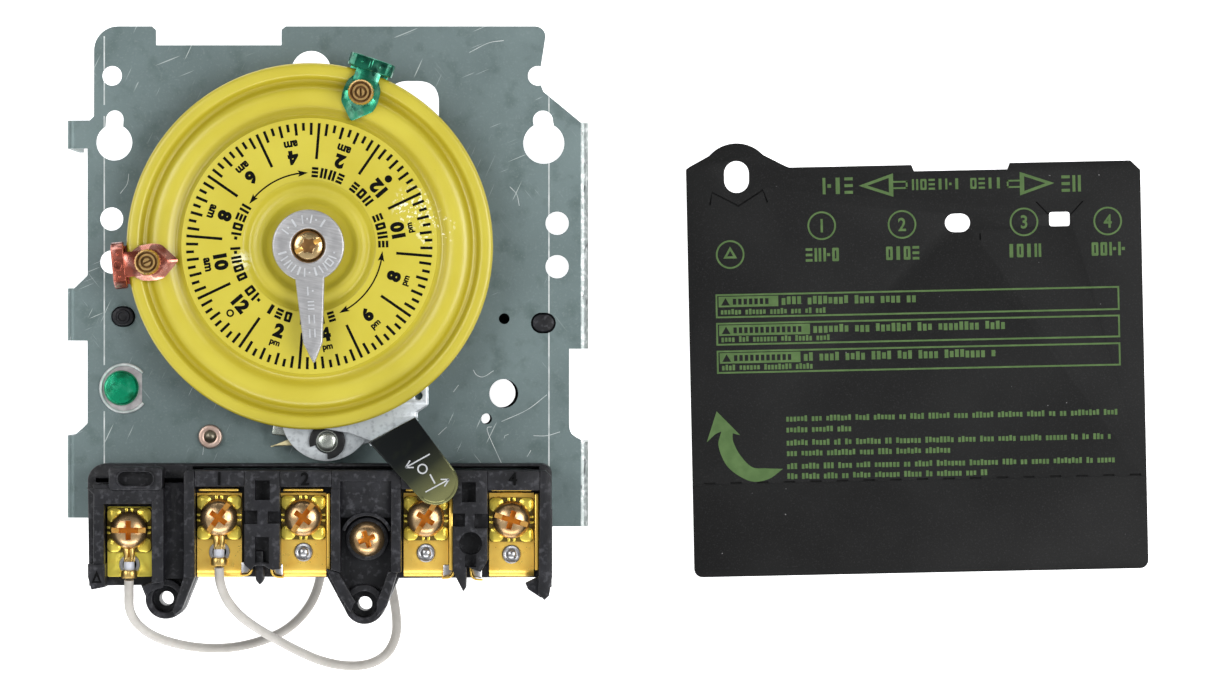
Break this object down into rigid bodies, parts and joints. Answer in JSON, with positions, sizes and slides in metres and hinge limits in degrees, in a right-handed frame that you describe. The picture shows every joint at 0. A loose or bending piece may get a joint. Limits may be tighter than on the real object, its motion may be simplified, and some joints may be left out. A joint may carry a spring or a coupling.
{
  "type": "mechanical dial time switch",
  "caption": "Mechanical 24-hour dial time switch on a steel plate, with trippers, manual lever, screw terminals, rear motor and a loose terminal insulator sheet.",
  "frame": {"origin": "middle of the whole layout, mechanism and loose sheet, on the surface that the flanges and the sheet rest on", "axes": "+Z towards the dial's front, +Y towards the plate's top edge, +X to the right seen from the front; the sheet lies at +X"},
  "size_m": [0.2544, 0.1514, 0.0556],
  "materials": {
    "zinc_plate": "galvanised, grey-green, scuffed and scratched",
    "black_moulding": "moulded phenolic, semi-matt with lighter worn edges",
    "motor_steel": "plain drawn steel",
    "coil_copper": "enamelled copper winding",
    "gear_brass": "cut brass",
    "steel": "bright steel",
    "dial_yellow": "glossy yellow",
    "pointer_aluminium": "satin, brushed",
    "screw_brass": "bright brass",
    "tripper_green": "metallic green",
    "tripper_red": "metallic copper red",
    "white_zinc": "bright white zinc",
    "clip_black": "black spring steel",
    "cream_plastic": "cream",
    "terminal_brass": "golden, satin",
    "clamp_brass": "yellow, bright",
    "terminal_screw": "bronze-tinted plating with golden slots",
    "ground_green": "green dye over plating",
    "stud_bronze": "tan ring",
    "lead_grey": "light grey insulation",
    "insulator_fibre": "black sheet with a dull green print"
  },
  "bodies": {
    "root": {"mounting_plate": "zinc_plate", "rear_housing": "black_moulding", "motor_can": "motor_steel", "motor_gear_cover": "motor_steel", "motor_coil": "coil_copper", "dial_post": "steel", "dial_spring": "steel", "pointer": "pointer_aluminium", "pointer_screw": "screw_brass", "terminal_block": "black_moulding", "terminal_a": "terminal_brass", "terminal_1": "terminal_brass", "terminal_2": "terminal_brass", "terminal_3": "terminal_brass", "terminal_4": "terminal_brass", "ferrule_a": "screw_brass", "ferrule_1": "screw_brass", "lead_a": "lead_grey", "lead_1": "lead_grey", "plate_stud": "stud_bronze"},
    "motor_rotor": {"motor_rotor": "motor_steel"},
    "motor_pinion": {"motor_pinion": "gear_brass"},
    "dial_gear": {"dial_gear": "gear_brass"},
    "dial_carrier": {"dial_bushing": "gear_brass"},
    "dial": {"dial": "dial_yellow"},
    "on_tripper": {"on_tripper": "tripper_green"},
    "on_thumbscrew": {"on_thumbscrew": "screw_brass"},
    "off_tripper": {"off_tripper": "tripper_red"},
    "off_thumbscrew": {"off_thumbscrew": "screw_brass"},
    "manual_lever": {"manual_lever": "white_zinc", "cam_pin": "steel", "cam_e_clip": "clip_black", "trip_pawl": "cream_plastic", "cam_bracket": "steel"},
    "cam": {"cam_disc": "white_zinc"},
    "contact_arm_1": {"contact_arm_1": "terminal_brass"},
    "contact_arm_2": {"contact_arm_2": "terminal_brass"},
    "ground_screw": {"ground_screw": "ground_green"},
    "insulator_screw": {"insulator_screw": "terminal_screw"},
    "insulator_sheet": {"insulator_sheet": "insulator_fibre"},
    "insulator_flap": {"insulator_flap": "insulator_fibre"},
    "clamp_a": {"terminal_screw_a": "terminal_screw", "clamp_plate_a": "clamp_brass"},
    "clamp_1": {"terminal_screw_1": "terminal_screw", "clamp_plate_1": "clamp_brass"},
    "clamp_2": {"terminal_screw_2": "terminal_screw", "clamp_plate_2": "clamp_brass"},
    "clamp_3": {"terminal_screw_3": "terminal_screw", "clamp_plate_3": "clamp_brass"},
    "clamp_4": {"terminal_screw_4": "terminal_screw", "clamp_plate_4": "clamp_brass"}
  },
  "joints": [
    {"name": "rotor_spin", "type": "hinge", "parent": "root", "child": "motor_rotor", "pos_m": [-0.05816, 0.03195, 0.016], "axis": [0, 0, 1], "continuous": true},
    {"name": "pinion_turn", "type": "hinge", "parent": "root", "child": "motor_pinion", "pos_m": [-0.04716, 0.04245, 0.038], "axis": [0, 0, 1], "continuous": true},
    {"name": "dial_gear_turn", "type": "hinge", "parent": "root", "child": "dial_gear", "pos_m": [-0.07016, 0.01795, 0.038], "axis": [0, 0, 1], "continuous": true},
    {"name": "dial_pull", "type": "slide", "parent": "root", "child": "dial_carrier", "axis": [0, 0, 1], "range_m": [0, 0.0025], "stiffness_N_per_m": 600, "springref_m": -0.001, "deforming": ["dial_spring"]},
    {"name": "dial_turn", "type": "hinge", "parent": "dial_carrier", "child": "dial", "pos_m": [-0.07016, 0.01795, 0.046], "axis": [0, 0, 1], "continuous": true},
    {"name": "on_tripper_set", "type": "hinge", "parent": "dial", "child": "on_tripper", "pos_m": [-0.07016, 0.01795, 0.047], "axis": [0, 0, 1], "range_deg": [-110, 90]},
    {"name": "off_tripper_set", "type": "hinge", "parent": "dial", "child": "off_tripper", "pos_m": [-0.07016, 0.01795, 0.047], "axis": [0, 0, 1], "range_deg": [-90, 110]},
    {"name": "on_thumbscrew_turn", "type": "hinge", "parent": "on_tripper", "child": "on_thumbscrew", "pos_m": [-0.05814, 0.05326, 0.05], "axis": [0, 0, 1], "range_deg": [0, 720]},
    {"name": "off_thumbscrew_turn", "type": "hinge", "parent": "off_tripper", "child": "off_thumbscrew", "pos_m": [-0.10727, 0.01418, 0.05], "axis": [0, 0, 1], "range_deg": [0, 720]},
    {"name": "lever_swing", "type": "hinge", "parent": "root", "child": "manual_lever", "pos_m": [-0.07016, 0.01795, 0.036], "axis": [0, 0, 1], "range_deg": [-20, 0]},
    {"name": "cam_turn", "type": "hinge", "parent": "manual_lever", "child": "cam", "pos_m": [-0.06636, -0.02715, 0.04], "axis": [0, 0, 1], "range_deg": [0, 14]},
    {"name": "contact_1_open", "type": "hinge", "parent": "root", "child": "contact_arm_1", "pos_m": [-0.09086, -0.03675, 0.04], "axis": [0, 0, 1], "range_deg": [0, 5]},
    {"name": "contact_2_open", "type": "hinge", "parent": "root", "child": "contact_arm_2", "pos_m": [-0.04326, -0.03675, 0.04], "axis": [0, 0, 1], "range_deg": [0, 5]},
    {"name": "ground_screw_out", "type": "slide", "parent": "root", "child": "ground_screw", "axis": [0, 0, 1], "range_m": [0, 0.008]},
    {"name": "insulator_screw_out", "type": "slide", "parent": "root", "child": "insulator_screw", "axis": [0, 0, 1], "range_m": [0, 0.008]},
    {"name": "insulator_lift", "type": "slide", "parent": "root", "child": "insulator_sheet", "axis": [0, 0, 1], "range_m": [0, 0.06]},
    {"name": "insulator_fold", "type": "hinge", "parent": "insulator_sheet", "child": "insulator_flap", "pos_m": [0.07276, -0.03704, 0.0006], "axis": [-0.9998, -0.0209, 0], "range_deg": [0, 90]},
    {"name": "clamp_a_out", "type": "slide", "parent": "root", "child": "clamp_a", "axis": [0, 0, 1], "range_m": [0, 0.003]},
    {"name": "clamp_1_out", "type": "slide", "parent": "root", "child": "clamp_1", "axis": [0, 0, 1], "range_m": [0, 0.003]},
    {"name": "clamp_2_out", "type": "slide", "parent": "root", "child": "clamp_2", "axis": [0, 0, 1], "range_m": [0, 0.003]},
    {"name": "clamp_3_out", "type": "slide", "parent": "root", "child": "clamp_3", "axis": [0, 0, 1], "range_m": [0, 0.003]},
    {"name": "clamp_4_out", "type": "slide", "parent": "root", "child": "clamp_4", "axis": [0, 0, 1], "range_m": [0, 0.003]}
  ],
  "couplings": [
    {"joint": "dial_gear_turn", "follows": "dial_turn", "ratio": 1},
    {"joint": "pinion_turn", "follows": "dial_turn", "ratio": -6},
    {"joint": "cam_turn", "follows": "lever_swing", "ratio": -0.7},
    {"joint": "contact_1_open", "follows": "lever_swing", "ratio": -0.25},
    {"joint": "contact_2_open", "follows": "lever_swing", "ratio": -0.25}
  ]
}
